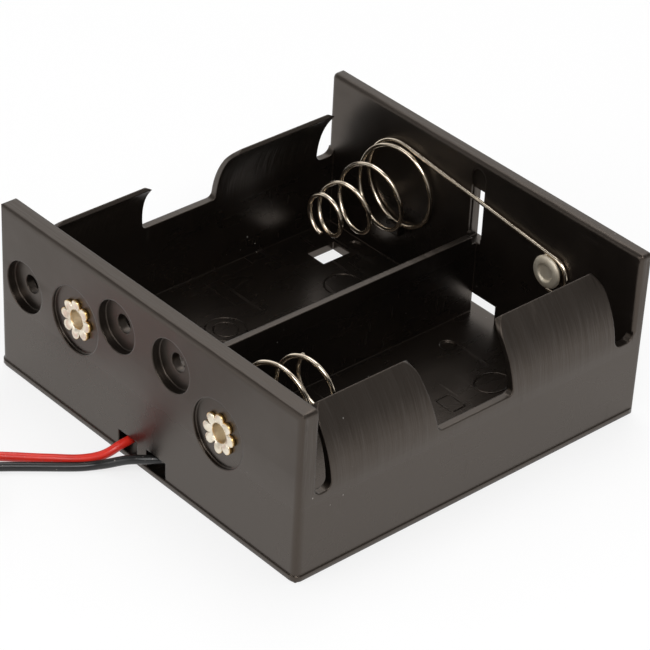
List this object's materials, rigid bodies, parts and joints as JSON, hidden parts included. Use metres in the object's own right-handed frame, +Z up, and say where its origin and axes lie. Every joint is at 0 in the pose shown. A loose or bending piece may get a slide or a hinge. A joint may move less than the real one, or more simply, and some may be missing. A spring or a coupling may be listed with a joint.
{
  "type": "cylindrical cell holder",
  "caption": "Open holder for two round cells side by side in series, with spring contacts, crimped eyelets and two soldered leads.",
  "frame": {"origin": "middle of the housing's underside, without the leads", "axes": "+X along the cells, from the front plate with the leads to the back plate with the link spring; +Y across the bays towards the link spring's bay; +Z up"},
  "size_m": [0.1133, 0.0766, 0.0304],
  "materials": {
    "housing_plastic": "satin",
    "spring_wire": "polished",
    "contact_metal": "satin",
    "solder_metal": "satin",
    "red_insulation": "satin",
    "black_insulation": "satin",
    "tie_plastic": "matte"
  },
  "bodies": {
    "root": {"housing": "housing_plastic", "link_spring": "spring_wire", "negative_spring": "spring_wire", "link_rivet": "contact_metal", "negative_eyelet": "contact_metal", "positive_eyelet": "contact_metal", "negative_lug": "contact_metal", "positive_lug": "contact_metal", "black_solder": "solder_metal", "red_solder": "solder_metal", "black_lead_inner": "black_insulation", "red_lead_inner": "red_insulation", "black_lead": "black_insulation", "red_lead": "red_insulation", "black_lead_coil": "black_insulation", "red_lead_coil": "red_insulation", "black_coil_tie": "tie_plastic", "red_coil_tie": "tie_plastic", "black_lead_end": "black_insulation", "red_lead_end": "red_insulation", "black_lead_tip": "solder_metal", "red_lead_tip": "solder_metal"}
  },
  "joints": []
}
